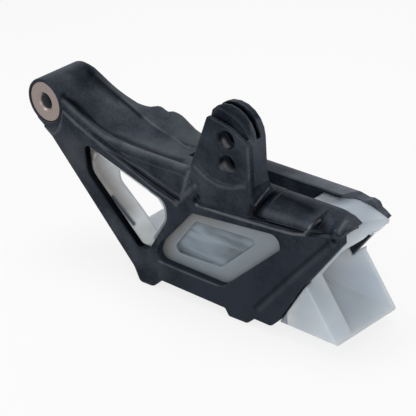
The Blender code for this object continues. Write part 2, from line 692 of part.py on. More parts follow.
def front_bushing():
    """A flanged sleeve, its bore chamfered at both ends."""
    face = boss_recess + flange_sink
    shoulder = face + flange_thickness
    end = boss_length + flange_sink
    sleeve_profile = [
        (face, flange_radius - 0.4),
        (face + 0.4, flange_radius),
        (shoulder, flange_radius),
        (shoulder + 0.001, sleeve_radius),
        (end - 0.5, sleeve_radius),
        (end, sleeve_radius - 0.5),
    ]
    outer = turned("front_bushing", boss_x, boss_z, sleeve_profile, 48)
    wide = bore_radius + bore_chamfer
    bore_profile = [
        (face - reach, wide),
        (face, wide),
        (face + bore_chamfer, bore_radius),
        (end - bore_chamfer, bore_radius),
        (end, wide),
        (end + reach, wide),
    ]
    bore = turned("bushing_bore", boss_x, boss_z, bore_profile, 32)
    return combine(outer, [bore], "DIFFERENCE")


def stand(pieces):
    """Turns the whole part onto the soles of its feet, with the middle of its base at the origin."""
    rise = rest_height(rear_foot_x) - rest_height(front_foot_x)
    tilt = math.atan2(rise, rear_foot_x - front_foot_x)
    cos, sin = math.cos(tilt), math.sin(tilt)
    for piece in pieces:
        count = len(piece.data.vertices)
        place = np.empty(count * 3)
        piece.data.vertices.foreach_get("co", place)
        place = place.reshape(-1, 3)
        turned_place = np.column_stack([place[:, 0] * cos + place[:, 2] * sin, place[:, 1],
                                        place[:, 2] * cos - place[:, 0] * sin])
        piece.data.vertices.foreach_set("co", turned_place.ravel())
    corners = np.concatenate([np.array([v.co for v in piece.data.vertices]) for piece in pieces])
    low, high = corners.min(axis=0), corners.max(axis=0)
    middle = [(low[0] + high[0]) / 2, (low[1] + high[1]) / 2, low[2]]
    for piece in pieces:
        piece.location = [-value for value in middle]


def main():
    for old in list(bpy.data.objects):
        bpy.data.objects.remove(old)
    nylon = material("black_nylon", (0.030, 0.034, 0.042), 0.45, 0.0)
    milky = material("milky_plastic", (0.62, 0.68, 0.72), 0.35, 0.0)
    steel = material("machined_steel", (0.62, 0.58, 0.55), 0.30, 1.0)
    pieces = [finish(housing(), nylon), finish(wear_insert(), milky), finish(front_bushing(), steel)]
    stand(pieces)


main()
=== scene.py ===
import math
import bmesh
import bpy
import numpy as np
from mathutils import Matrix, Vector


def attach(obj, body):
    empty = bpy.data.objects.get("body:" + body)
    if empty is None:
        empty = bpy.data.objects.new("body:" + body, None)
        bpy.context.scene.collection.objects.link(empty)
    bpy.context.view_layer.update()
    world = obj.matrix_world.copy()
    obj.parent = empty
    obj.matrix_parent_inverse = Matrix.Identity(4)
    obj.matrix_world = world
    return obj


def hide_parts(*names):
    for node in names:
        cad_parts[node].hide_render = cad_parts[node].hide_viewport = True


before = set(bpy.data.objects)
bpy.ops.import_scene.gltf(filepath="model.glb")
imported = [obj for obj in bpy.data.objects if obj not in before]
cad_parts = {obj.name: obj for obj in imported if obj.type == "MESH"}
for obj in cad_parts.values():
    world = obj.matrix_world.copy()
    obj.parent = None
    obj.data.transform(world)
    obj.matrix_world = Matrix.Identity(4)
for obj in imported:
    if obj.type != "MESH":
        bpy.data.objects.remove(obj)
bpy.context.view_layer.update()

perMetre = 1000  # millimetres

# The part is drawn with its bottom rail level, in millimetres; it then leans on its two feet, 2.6 in 66.
stance = {"lean": math.atan2(2.6, 66.0), "shift": (-13.68, -23.25, -0.49)}


def toRow(points):
    # rail millimetres to row metres: a turn about Y by the lean, then the shift
    points = np.atleast_2d(np.asarray(points, float))
    c, s = math.cos(stance["lean"]), math.sin(stance["lean"])
    x = points[:, 0] * c + points[:, 2] * s
    z = points[:, 2] * c - points[:, 0] * s
    return (np.column_stack([x, points[:, 1], z]) + stance["shift"]) / perMetre


def meshFrom(name, points, quads):
    # a new object at the origin, its points in row metres
    mesh = bpy.data.meshes.new(name)
    mesh.from_pydata(points.tolist(), [], quads.tolist())
    mesh.update()
    obj = bpy.data.objects.new(name, mesh)
    bpy.context.scene.collection.objects.link(obj)
    return obj


def gridQuads(rows, columns):
    # quad (i, j) joins row i and i + 1 with column j and j + 1, and both directions wrap round
    i, j = np.meshgrid(np.arange(rows), np.arange(columns), indexing="ij")
    n, k = (i + 1) % rows, (j + 1) % columns
    corners = [i * columns + j, i * columns + k, n * columns + k, n * columns + j]
    return np.stack(corners, axis=-1).reshape(-1, 4)


def turnedRing(name, centre, profile, sides=96):
    # a closed profile of radius and depth, turned once round a line along Y: x is the centre's plus
    # radius times cosine, z is the centre's plus radius times sine, and y is the depth
    profile = np.asarray(profile, float)
    angle = np.linspace(0, 2 * math.pi, sides, endpoint=False)[:, None]
    r, y = profile[None, :, 0], profile[None, :, 1]
    x = centre[0] + r * np.cos(angle)
    z = centre[1] + r * np.sin(angle)
    points = np.stack([x, np.repeat(y, sides, axis=0), z], axis=-1).reshape(-1, 3)
    obj = meshFrom(name, toRow(points), gridQuads(sides, len(profile)))
    work = bmesh.new()
    work.from_mesh(obj.data)
    bmesh.ops.recalc_face_normals(work, faces=work.faces)
    work.to_mesh(obj.data)
    work.free()
    return obj


# Care of the solids' meshes: merge gap in metres, angles in degrees.
meshCare = {"mergeGap": 2e-6, "flatAngle": 0.4, "sharpAngle": 32, "bevelSegments": 2, "evenWeight": 80}


def copyOf(node, name):
    # the CAD node's own shape, its loose triangles merged and flat stretches made single faces
    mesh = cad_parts[node].data.copy()
    mesh.name = name
    work = bmesh.new()
    work.from_mesh(mesh)
    bmesh.ops.remove_doubles(work, verts=work.verts, dist=meshCare["mergeGap"])
    flat = math.radians(meshCare["flatAngle"])
    bmesh.ops.dissolve_limit(work, angle_limit=flat, verts=work.verts, edges=work.edges)
    work.to_mesh(mesh)
    work.free()
    mesh.materials.clear()
    obj = bpy.data.objects.new(name, mesh)
    bpy.context.scene.collection.objects.link(obj)
    return obj


def soften(obj, width, sharp=meshCare["sharpAngle"]):
    # rounds the edges sharper than an angle in degrees, to a width in millimetres
    obj.data.shade_smooth()
    obj.data.set_sharp_from_angle(angle=math.radians(sharp))
    edge = obj.modifiers.new("softEdges", "BEVEL")
    edge.width = width / perMetre
    edge.segments = meshCare["bevelSegments"]
    edge.limit_method = "ANGLE"
    edge.angle_limit = math.radians(sharp)
    edge.harden_normals = True
    edge.miter_outer = "MITER_ARC"
    level = obj.modifiers.new("evenShade", "WEIGHTED_NORMAL")
    level.keep_sharp = True
    level.weight = meshCare["evenWeight"]


def place(obj, node, look):
    # the piece gets its material and stands for a CAD node on the one rigid body
    obj.data.materials.append(look)
    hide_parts(node)
    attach(obj, "root")


def nodesOf(name):
    # a new material, its node tree, its shader and the Object coordinates
    made = bpy.data.materials.new(name)
    made.use_nodes = True
    tree = made.node_tree
    shader = tree.nodes["Principled BSDF"]
    spot = tree.nodes.new("ShaderNodeTexCoord")
    return made, tree, shader, spot.outputs["Object"]


def feed(tree, socket, value):
    # a socket takes a link from another socket, or a constant
    if isinstance(value, bpy.types.NodeSocket):
        tree.links.new(value, socket)
    else:
        socket.default_value = value


def fill(tree, node, values):
    # several sockets of a node by their names
    for label, value in values.items():
        feed(tree, node.inputs[label], value)


def sum1(tree, kind, a, b=None, clamp=False):
    # one scalar step: add, subtract, multiply, divide, minimum, maximum, power
    node = tree.nodes.new("ShaderNodeMath")
    node.operation = kind
    node.use_clamp = clamp
    feed(tree, node.inputs[0], a)
    if b is not None:
        feed(tree, node.inputs[1], b)
    return node.outputs["Value"]


def sum3(tree, kind, a, b=None, out="Vector"):
    # one vector step, whose result is a vector or, for a length or a product, a number
    node = tree.nodes.new("ShaderNodeVectorMath")
    node.operation = kind
    feed(tree, node.inputs[0], a)
    if b is not None:
        feed(tree, node.inputs[1], b)
    return node.outputs[out]


def noise(tree, vector, scale, detail=3.0, roughness=0.55, stretch=None, turn=0.0, distortion=0.0):
    # cloudy noise from 0 to 1, its grain stretched along the axes and turned about Y where asked
    if stretch:
        node = tree.nodes.new("ShaderNodeMapping")
        node.inputs["Scale"].default_value = stretch
        node.inputs["Rotation"].default_value = (0.0, turn, 0.0)
        tree.links.new(vector, node.inputs["Vector"])
        vector = node.outputs["Vector"]
    tex = tree.nodes.new("ShaderNodeTexNoise")
    tex.inputs["Scale"].default_value = scale
    tex.inputs["Detail"].default_value = detail
    tex.inputs["Roughness"].default_value = roughness
    tex.inputs["Distortion"].default_value = distortion
    tree.links.new(vector, tex.inputs["Vector"])
    return tex.outputs["Fac"]


def spread(tree, value, low, high, toLow=0.0, toHigh=1.0):
    # the span from low to high, mapped evenly to the span from toLow to toHigh
    ramp = tree.nodes.new("ShaderNodeMapRange")
    limits = {"From Min": low, "From Max": high, "To Min": toLow, "To Max": toHigh}
    for label, number in limits.items():
        ramp.inputs[label].default_value = number
    tree.links.new(value, ramp.inputs["Value"])
    return ramp.outputs["Result"]


def blend(tree, factor, first, second):
    # from the first colour at 0 to the second at 1
    mix = tree.nodes.new("ShaderNodeMix")
    mix.data_type = "RGBA"
    for label, value in (("A", first), ("B", second)):
        target = [s for s in mix.inputs if s.name == label and s.type == "RGBA"][0]
        feed(tree, target, (*value, 1.0) if isinstance(value, tuple) else value)
    feed(tree, mix.inputs[0], factor)
    return [s for s in mix.outputs if s.type == "RGBA"][0]


def bumpOf(tree, height, strength, distance, normal=None):
    # a normal tilted by the slope of a height, on top of another normal where there is one
    node = tree.nodes.new("ShaderNodeBump")
    node.inputs["Strength"].default_value = strength
    node.inputs["Distance"].default_value = distance
    tree.links.new(height, node.inputs["Height"])
    if normal:
        tree.links.new(normal, node.inputs["Normal"])
    return node.outputs["Normal"]


def newGroup(name, inputs, outputs):
    # an empty node group, with the sockets that it is given and the ones that it fills
    group = bpy.data.node_groups.new(name, "ShaderNodeTree")
    for side, sockets in (("INPUT", inputs), ("OUTPUT", outputs)):
        for label, kind in sockets.items():
            group.interface.new_socket(label, in_out=side, socket_type="NodeSocket" + kind)
    given = group.nodes.new("NodeGroupInput").outputs
    result = group.nodes.new("NodeGroupOutput").inputs
    return group, given, result


def makeStripeGroup():
    # 1 on the straight line from Start to End, falling evenly through 0 at Reach from it; maximum and
    # minimum steps stand in for the clamp option, whose nodes the renderer works out last, so that many
    # stripes fit one shader
    sockets = {"Place": "Vector", "Start": "Vector", "End": "Vector", "Reach": "Float"}
    group, given, result = newGroup("stripeMask", sockets, {"Mask": "Float"})
    toPoint = sum3(group, "SUBTRACT", given["Place"], given["Start"])
    axis = sum3(group, "SUBTRACT", given["End"], given["Start"])
    share = sum1(group, "DIVIDE", sum3(group, "DOT_PRODUCT", toPoint, axis, "Value"),
                 sum3(group, "DOT_PRODUCT", axis, axis, "Value"))
    share = sum1(group, "MINIMUM", sum1(group, "MAXIMUM", share, 0.0), 1.0)
    foot = group.nodes.new("ShaderNodeVectorMath")
    foot.operation = "SCALE"
    feed(group, foot.inputs[0], axis)
    feed(group, foot.inputs["Scale"], share)
    gap = sum3(group, "DISTANCE", toPoint, foot.outputs["Vector"], "Value")
    fall = sum1(group, "DIVIDE", gap, given["Reach"])
    feed(group, result["Mask"], sum1(group, "SUBTRACT", 1.0, fall))
    return group


def makePatchGroup():
    # 1 inside the box from Low to High, falling to 0 over Soft at its sides
    sockets = {"Place": "Vector", "Low": "Vector", "High": "Vector", "Soft": "Float"}
    group, given, result = newGroup("patchMask", sockets, {"Mask": "Float"})
    inner = sum3(group, "MINIMUM", sum3(group, "SUBTRACT", given["Place"], given["Low"]),
                 sum3(group, "SUBTRACT", given["High"], given["Place"]))
    split = group.nodes.new("ShaderNodeSeparateXYZ")
    feed(group, split.inputs["Vector"], inner)
    least = sum1(group, "MINIMUM", split.outputs["X"], split.outputs["Y"])
    least = sum1(group, "MINIMUM", least, split.outputs["Z"])
    feed(group, result["Mask"], sum1(group, "DIVIDE", least, given["Soft"], clamp=True))
    return group


def makeEdgeGroup(samples=8, gain=4.0):
    # the normal of a rounded edge, and how far it turns from the face's own normal
    results = {"Mask": "Float", "Normal": "Vector"}
    group, given, result = newGroup("edgeWearAndGlint", {"Radius": "Float"}, results)
    rounder = group.nodes.new("ShaderNodeBevel")
    rounder.samples = samples
    feed(group, rounder.inputs["Radius"], given["Radius"])
    face = group.nodes.new("ShaderNodeNewGeometry")
    alike = sum3(group, "DOT_PRODUCT", rounder.outputs["Normal"], face.outputs["Normal"], "Value")
    turned = sum1(group, "SUBTRACT", 1.0, alike)
    feed(group, result["Mask"], sum1(group, "MULTIPLY", turned, gain, clamp=True))
    feed(group, result["Normal"], rounder.outputs["Normal"])
    return group


stripeGroup, patchGroup, edgeGroup = makeStripeGroup(), makePatchGroup(), makeEdgeGroup()
print("node groups ready")


def useGroup(tree, group, **values):
    # places a group in a material with its own values
    node = tree.nodes.new("ShaderNodeGroup")
    node.node_tree = group
    for label, value in values.items():
        feed(tree, node.inputs[label.capitalize()], value)
    return node.outputs


def stripes(tree, spot, knots, reach):
    # a chain of straight stripes through rail knots, the strongest of them at every point
    row = toRow(knots)
    total = 0.0
    for start, end in zip(row[:-1], row[1:]):
        ends = {"start": tuple(start), "end": tuple(end)}
        mask = useGroup(tree, stripeGroup, place=spot, reach=reach / perMetre, **ends)["Mask"]
        total = sum1(tree, "MAXIMUM", mask, total)
    return total


def allStripes(tree, spot, table):
    # every line of a table at its own strength, the strongest of them at every point
    total = 0.0
    for knots, reach, power in table.values():
        line = sum1(tree, "MULTIPLY", stripes(tree, spot, knots, reach), power)
        total = sum1(tree, "MAXIMUM", line, total)
    return total


def patch(tree, spot, low, high, soft):
    # a soft-sided box, low and high in row millimetres
    box = {"low": tuple(np.asarray(low) / perMetre), "high": tuple(np.asarray(high) / perMetre)}
    return useGroup(tree, patchGroup, place=spot, soft=soft / perMetre, **box)["Mask"]


# Colours are linear. A box is its low and high corner in row millimetres and its soft margin, a line is
# its rail knots and half width, and a span is the range read and, where given, the range it becomes.
housing = {
    "softEdge": 0.5,
    "dark": (0.0100, 0.0138, 0.0215),
    "pale": (0.0290, 0.0370, 0.0505),
    "wornAndLit": (0.20, 0.208, 0.230),
    "crease": (0.0012, 0.0018, 0.0032),
    "strip": (0.105, 0.117, 0.143),  # the pale top of the far wall, painted light where it faces up to the lamps
    "lightAndToneAreas": {  # places painted lighter where light falls (wing, lugSide, armRear, corner) and a bluer near plate: colour, then box
        "wing": ((0.050, 0.060, 0.070), (-96, 8.0, 70), (6, 30, 110), 0.8),
        "lugSide": ((0.060, 0.070, 0.090), (46.2, -18, 78), (70, -4, 125), 1.0),
        "armRear": ((0.050, 0.064, 0.080), (-56, -18, 72), (8, 8.5, 84), 10.0),
        "corner": ((0.040, 0.045, 0.055), (-100, -50, 50), (-60, -10, 84), 8.0),
        "plate": ((0.0140, 0.0195, 0.0315), (-14, -50, -20), (112, -10, 60), 8.0),
    },
    "stripBox": ((30, 7.4, 60), (118, 30, 90), 1.0),
    "stripLine": ([(84, 38, 77), (112, 38, 77)], 34),
    "stripFade": 0.7,
    "cloud": {"scale": 42, "detail": 5, "roughness": 0.6},
    "speck": {"scale": 700, "detail": 2},
    "cloudShare": 0.74,
    "toneSpan": (0.40, 0.60),
    "unevenSpan": (0.38, 0.62, 0.45, 1.0),
    "highlightSpan": (0.36, 0.6, 0.6, 1.0),
    "wearNoise": {"scale": 160, "detail": 4},
    "wearSpan": (0.35, 0.65, 0.135, 0.45),
    "roughSpan": (0.3, 0.7, 0.34, 0.50),
    "specular": 0.012,
    "coatSpan": (0.35, 0.65, 0.075, 0.21),
    "coatRough": 0.36,
    "edgeRadius": 0.0008,  # metres, as the bump distances are
    "combed": {"scale": 900, "detail": 2, "roughness": 0.5, "stretch": (1.0, 0.06, 1.0)},
    "combedBump": (0.5, 0.0003),
    "grain": {"scale": 2400, "detail": 2, "roughness": 0.6},
    "grainBump": (0.35, 0.00012),
    "wave": {"scale": 320, "detail": 3},
    "waveBump": (0.12, 0.0004),
}

# Painted highlights along the moulding's raised lines and edges, with broad painted sheens, then painted
# shade in its creases, gaps and hollows: knots in rail millimetres, half width and strength.
paintedHighlights = {
    "armLine": ([(-70.7, 0.3, 89.2), (-61.8, 0.1, 84.8), (-49.8, 0, 79.9), (-40.6, 0, 77.0),
                 (-32.0, 1.4, 74.5), (-23.5, 1.9, 72.0), (-15.4, 1.9, 70.4), (-5.7, 1.9, 67.4),
                 (4.7, 1.9, 64.4), (11.2, 1.9, 62.8)], 1.2, 0.46),
    "barTop": ([(-45.3, 0, 77.5), (-39.9, 0, 75.4), (-31.7, 0, 72.6), (-22.8, 0, 69.3),
                (-14.9, 0, 66.5), (-7.1, 0, 63.2), (0.8, 0, 61.1), (8.7, 0, 59.2)], 1.1, 0.36),
    "crescent": ([(-86.5, 0.2, 75.0), (-82.5, 0, 73.4), (-79.0, 0, 74.2), (-76.0, 0, 77.0),
                  (-73.9, 0, 80.4), (-72.6, 0, 84.4), (-71.3, 0, 88.5)], 1.4, 0.32),
    "ribUpper": ([(20.5, 3.0, 85.0), (17.8, 0, 73.9), (15.9, 0, 67.6), (12.0, 0.5, 61.5)], 1.8, 0.35),
    "ribSide": ([(23.1, 1.6, 72.6), (17.2, 0, 66.8), (9.5, 0, 58.6)], 2.3, 0.34),
    "panelRim": ([(-5.6, 0, 18.8), (9.3, 0.2, 18.5), (23.5, 0.3, 18.6), (35.0, 0.3, 18.9),
                  (40.5, 0, 20.4)], 0.9, 0.42),
    "lugArc": ([(24.0, 1.6, 83.5), (31.1, 1.6, 79.5), (39.0, 1.6, 77.5), (47.0, 1.6, 78.4),
                (56.4, 1.6, 82.6)], 1.6, 0.24),
    "lugEdge": ([(58.6, 2.8, 103.0), (59.0, 2.6, 85.0), (59.6, 2.6, 74.0)], 1.4, 0.20),
    "lugFoot": ([(61.0, 4.0, 72.6), (61.7, 6.9, 75.0), (61.5, 14.1, 77.9)], 0.7, 0.60),
    "shoulder": ([(68.0, 3.4, 71.2), (93.4, 3.0, 72.2)], 3.2, 0.22),
    "ledge": ([(24.4, 0.1, 62.7), (40.6, 0.2, 63.3), (73.3, 0, 65.7), (87.1, 0, 67.0),
               (94.4, 0, 69.0), (95.5, 3.4, 72.7), (97.2, 8.9, 74.0)], 1.1, 0.75),
    "fold": ([(112.5, 0, 69.6), (92.6, 0, 48.5), (64.0, 0, 15.0)], 2.2, 0.10),
    "lip": ([(113.4, 2.5, 76.4), (111.6, 9.5, 77.4)], 2.6, 0.42),
    "armBead": ([(-72.2, 3.0, 94.3), (-57.6, 2.8, 87.2), (-42.0, 2.6, 81.6),
                 (-28.7, 4.0, 80.3)], 2.2, 0.26),
    "armBeadRear": ([(-28.7, 4.0, 80.3), (-8.2, 4.6, 79.8), (14.0, 4.6, 80.2)], 3.2, 0.36),
    "flangeFoot": ([(-42.7, 32.6, 82.0), (-35.7, 32.9, 79.0), (-26.4, 32.3, 77.0),
                    (-4.2, 27.2, 75.8)], 0.8, 0.35),
    "eyeHigh": ([(41.5, 5.5, 101.3), (43.5, 5.0, 99.4)], 2.2, 1.5),
    "eyeLow": ([(41.0, 5.0, 87.8), (45.5, 6.5, 85.6)], 3.0, 1.5),
    "armSheen": ([(-79.0, 13.0, 101.4), (-74.0, 14.5, 97.2), (-68.0, 15.5, 92.8)], 6.5, 0.08),
    "roofEdge": ([(66.0, 21.0, 77.0), (97.0, 21.0, 77.0)], 4.0, 0.17),
    "lugLow": ([(28.0, 1.6, 72.0), (52.0, 1.6, 73.0)], 8.0, 0.06),
    "frontBar": ([(-70.0, 0, 70.0), (-24.0, 0, 13.0)], 8.0, 0.05),
}
# Painted shade: creases, gaps, hollows and window walls painted dark where shade falls.
creases = {
    "valley": ([(-37.4, 0.4, 75.9), (-30.3, 0.5, 73.5), (-21.7, 0.9, 70.7), (-11.4, 0.3, 67.4),
                (-3.3, 0, 65.0), (4.4, 0.2, 62.9), (9.4, 0.2, 61.5)], 2.4, 0.62),
    "besideBead": ([(-73.4, 5.4, 95.9), (-69.2, 6.9, 92.5), (-60.6, 7.4, 88.2), (-46.5, 8.4, 82.2),
                    (-41.0, 9.8, 79.0)], 3.3, 1.2),
    "besideBeadRear": ([(-42.6, 10.6, 79.2), (-37.4, 12.4, 77.6), (-24.9, 12.9, 76.4),
                        (-9.1, 12.0, 76.2), (3.5, 12.9, 76.5)], 3.2, 0.75),
    "flangeBand": ([(-78.5, 28.5, 100.9), (-67.6, 29.4, 94.6), (-57.7, 29.4, 90.2)], 4.2, 0.85),
    "flangeBandEnd": ([(-62.0, 29.4, 92.2), (-55.7, 29.6, 89.3), (-42.7, 31.0, 82.4)], 2.4, 0.9),
    "bossBack": ([(-81.0, 30.0, 102.5), (-80.0, 21.0, 101.9)], 6.5, 0.4),
    "lugSideFoot": ([(61.8, 2.0, 68.5), (63.6, 5.5, 73.6), (64.8, 9.6, 75.4),
                     (65.6, 13.5, 76.6)], 5.2, 1.15),
    "roofTop": ([(66.0, 13.6, 76.4), (80.4, 12.9, 76.4), (90.5, 11.3, 76.3)], 6.4, 0.95),
    "shoulderFoot": ([(63.2, 2.3, 67.5), (73.5, 1.4, 67.9), (94.2, 0.4, 69.9)], 1.1, 1.8),
    "wedge": ([(97.9, 0.2, 70.6), (102.9, 1.6, 71.7), (106.8, 4.2, 72.3), (112.3, 0.2, 71.6)], 1.9, 1.3),
    "hollow": ([(97.8, 8.0, 72.6), (104.0, 4.6, 71.8)], 4.0, 1.1),
    "foldBack": ([(109.0, 0, 70.0), (60.5, 0, 15.0)], 1.8, 0.5),
    "earGap": ([(38.0, 12.9, 117.6), (47.3, 12.9, 116.2), (52.6, 12.9, 112.0),
                (55.8, 12.9, 106.5)], 3.2, 2.0),
    "skinGap": ([(34.0, 7.1, 111.6), (45.5, 7.1, 109.0), (52.9, 7.1, 104.6)], 2.4, 1.0),
    "marks": ([(-16.7, 31.0, 75.7), (-6.5, 28.4, 75.9)], 0.7, 1.0),
    "eyeRims": ([(40.3, 3.2, 106.0), (40.2, 3.2, 103.4)], 1.8, 1.0),
    "eyeRimLow": ([(40.3, 3.2, 93.0), (40.2, 3.2, 90.0)], 1.8, 1.0),
    "ribFoot": ([(25.2, 0.8, 67.4), (23.4, 0.8, 65.0)], 2.2, 1.3),
    "windowWall": ([(-56.9, 3.2, 71.0), (-56.7, 3.2, 60.3), (-53.4, 3.2, 53.4),
                    (-21.6, 3.2, 22.4)], 3.2, 2.2),
}


def nylonMaterial():
    # a cloudy black, its areas painted lighter or bluer and the far wall's top painted light, then painted
    # shade in creases, gaps and hollows, then painted highlights on raised lines and pale edges that are
    # partly wear and partly painted highlight
    h = housing
    made, tree, shader, spot = nodesOf("blackNylon")
    edge = useGroup(tree, edgeGroup, radius=h["edgeRadius"])
    cloud = noise(tree, spot, **h["cloud"])
    speck = noise(tree, spot, **h["speck"])
    tone = sum1(tree, "ADD", sum1(tree, "MULTIPLY", cloud, h["cloudShare"]),
                sum1(tree, "MULTIPLY", speck, 1 - h["cloudShare"]))
    strip = sum1(tree, "MULTIPLY", patch(tree, spot, *h["stripBox"]),
                 sum1(tree, "POWER", stripes(tree, spot, *h["stripLine"]), h["stripFade"]))
    colour = blend(tree, spread(tree, tone, *h["toneSpan"]), h["dark"], h["pale"])
    uneven = spread(tree, tone, *h["unevenSpan"])
    for own, *box in h["lightAndToneAreas"].values():
        colour = blend(tree, sum1(tree, "MULTIPLY", patch(tree, spot, *box), uneven), colour, own)
    # the far wall's top painted light, where it faces up to the lamps
    colour = blend(tree, sum1(tree, "MULTIPLY", strip, uneven), colour, h["strip"])
    # painted shade in the creases, gaps and hollows
    shadeMask = sum1(tree, "MINIMUM", allStripes(tree, spot, creases), 1.0)
    colour = blend(tree, shadeMask, colour, h["crease"])
    # painted highlights along raised lines and edges, and broad painted sheens
    highlight = sum1(tree, "MULTIPLY", allStripes(tree, spot, paintedHighlights), spread(tree, tone, *h["highlightSpan"]))
    # pale edges: partly wear, partly painted edge highlight
    rubbed = spread(tree, noise(tree, spot, **h["wearNoise"]), *h["wearSpan"])
    wearAndGlint = sum1(tree, "MULTIPLY", edge["Mask"], rubbed)
    colour = blend(tree, sum1(tree, "MAXIMUM", wearAndGlint, highlight), colour, h["wornAndLit"])
    rough = spread(tree, cloud, *h["roughSpan"])
    unshaded = sum1(tree, "SUBTRACT", 1.0, shadeMask)
    shine = sum1(tree, "MULTIPLY", unshaded, spread(tree, cloud, *h["coatSpan"]))
    combed = sum1(tree, "MULTIPLY", noise(tree, spot, **h["combed"]), strip)
    normal = bumpOf(tree, combed, *h["combedBump"], edge["Normal"])
    normal = bumpOf(tree, noise(tree, spot, **h["grain"]), *h["grainBump"], normal)
    normal = bumpOf(tree, noise(tree, spot, **h["wave"]), *h["waveBump"], normal)
    fill(tree, shader, {
        "Base Color": colour, "Roughness": rough, "Specular IOR Level": h["specular"],
        "Coat Weight": shine, "Coat Roughness": h["coatRough"], "Normal": normal})
    return made


def makeHousing():
    shell = copyOf("housing", "housingShell")
    soften(shell, housing["softEdge"])
    place(shell, "housing", nylonMaterial())


# Boxes, lines and spans as in the housing; the web's depths and outline are in rail millimetres.
insert = {
    "softEdge": 0.5,
    "webDepth": (4.95, 6.4),
    "webOutline": [(-60.2, 62.5), (-61.2, 70.0), (-59.6, 75.6), (-55.0, 77.0), (-49.0, 75.2),
                   (-49.5, 70.6), (-56.0, 62.0)],
    "end": (0.545, 0.605, 0.665),
    "endCloud": (0.625, 0.67, 0.715),
    "shade": (0.38, 0.425, 0.465),
    "lip": (0.34, 0.39, 0.445),
    "tongue": (0.105, 0.125, 0.155),
    "deep": (0.55, 0.57, 0.58),
    "deepCloud": (0.69, 0.72, 0.75),
    "rim": (0.21, 0.245, 0.275),
    "panel": (0.125, 0.153, 0.178),
    "panelCloud": (0.265, 0.325, 0.380),
    "brownTint": (0.185, 0.165, 0.145),
    "shadowStreak": (0.035, 0.048, 0.068),
    "through": (0.150, 0.160, 0.170),  # a painted glow, standing in for light that comes through the far wall
    "unlit": (0.0, 0.0, 0.0),
    "lipBox": ((40, -40, 58), (116, 40, 120), 9.0),
    "panelBox": ((-26, -30, 8), (69, -13.5, 64), 0.5),
    "frontBox": ((-120, -40, 0), (78, 40, 120), 14.0),
    "litBox": ((-80, -11, 20), (30, 22, 62), 2.0),
    "shadeLine": ([(112.0, 0, 66), (90.0, 0, 36), (76.0, 0, 12)], 22.0),
    "tongueLine": ([(78.0, 27, 75.8), (90.0, 27, 75.6)], 11.0),
    "panelTint": ([(-6.0, 3, 24), (-2.0, 3, 36), (14.0, 3, 53), (34.0, 3, 57)], 10.0),
    "windowTint": ([(-57.0, 7, 72), (-54.0, 7, 56), (-36.0, 7, 38)], 10.0),
    "tintShare": 0.8,
    "streakLine": ([(-43.2, 5.2, 43.8), (-35.5, 5.9, 36.3), (-29.8, 6.4, 30.9)], 1.8),
    "streakGain": 1.3,
    "flow": {"scale": 30, "detail": 3, "roughness": 0.5, "stretch": (1.0, 1.0, 2.6)},
    "swirl": {"scale": 62, "detail": 3, "roughness": 0.45, "stretch": (0.45, 1.0, 1.5), "turn": 0.12,
              "distortion": 0.9},
    "endSpan": (0.36, 0.66),
    "deepSpan": (0.34, 0.64),
    "panelSpan": (0.36, 0.62),
    "panelDepth": (-18.15, -17.4),  # row millimetres along Y
    "tongueSpan": (0.3, 0.6, 1.1, 1.7),
    "rimSpan": (0.3, 0.7, 0.0, 0.25),
    "roughSpan": (0.3, 0.7, 0.31, 0.44),
    "specular": 0.35,
    "milky": {"Emission Strength": 1.0, "Subsurface Weight": 0.6, "Subsurface Scale": 0.006,
              "Subsurface Radius": (0.9, 1.0, 1.1)},
    "edgeRadius": 0.0018,  # metres, as the bump distances are
    "swirlBump": (0.30, 0.0010),
    "wave": {"scale": 260, "detail": 3},
    "waveBump": (0.10, 0.0004),
}


